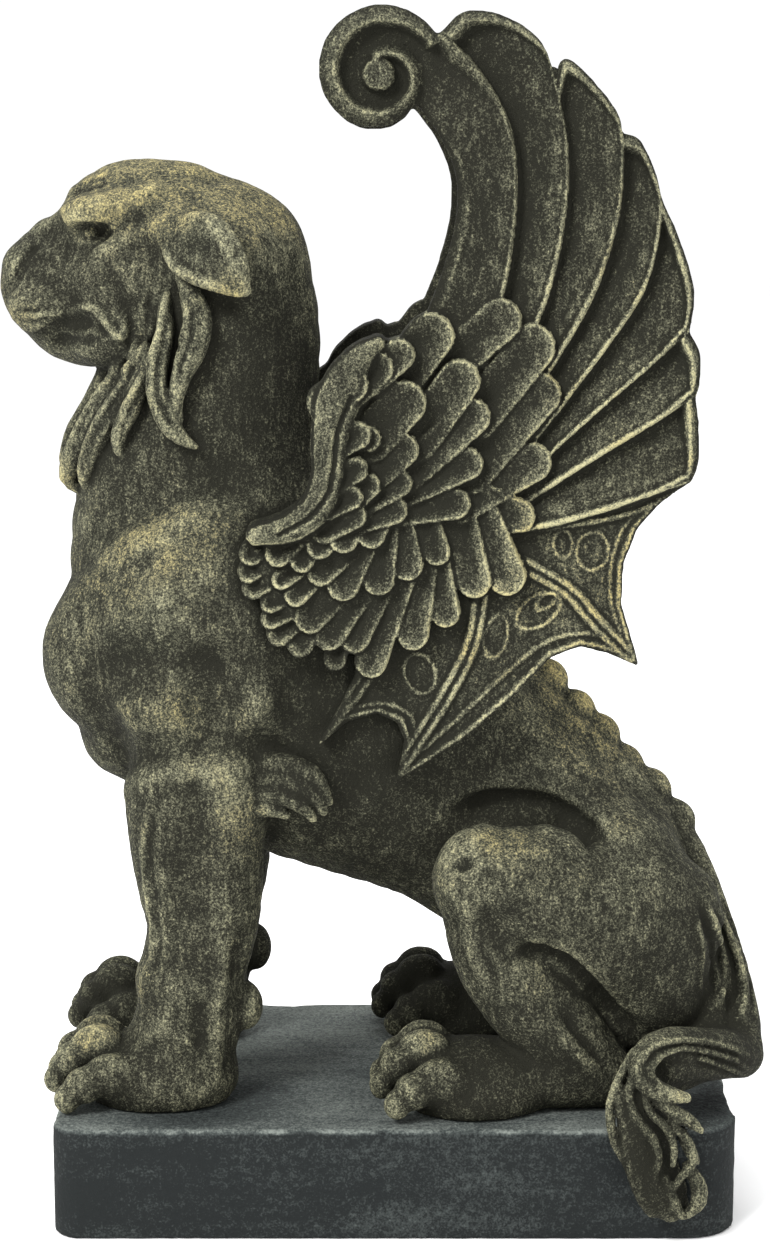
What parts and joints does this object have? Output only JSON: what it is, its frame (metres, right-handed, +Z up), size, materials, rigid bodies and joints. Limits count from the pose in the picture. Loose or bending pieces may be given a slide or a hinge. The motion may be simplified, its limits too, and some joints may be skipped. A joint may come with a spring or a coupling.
{
  "type": "gargoyle statue",
  "caption": "Seated winged gargoyle with a lion's head, scrolled feather wings and a tasselled tail, cast on a low rectangular plinth.",
  "frame": {"origin": "centre of the plinth's underside", "axes": "+Z up, the head looks along -X, the tail's tassel hangs on the -Y side"},
  "size_m": [0.2114, 0.121, 0.331],
  "materials": {
    "olive_stone": "matte cast stone, dark olive in the hollows, dry-brushed yellow-cream on the raised parts",
    "slate_stone": "matte cast stone painted dark slate grey, lightly scratched and chipped at the edges"
  },
  "bodies": {
    "root": {"gargoyle": "olive_stone", "plinth": "slate_stone"}
  },
  "joints": []
}
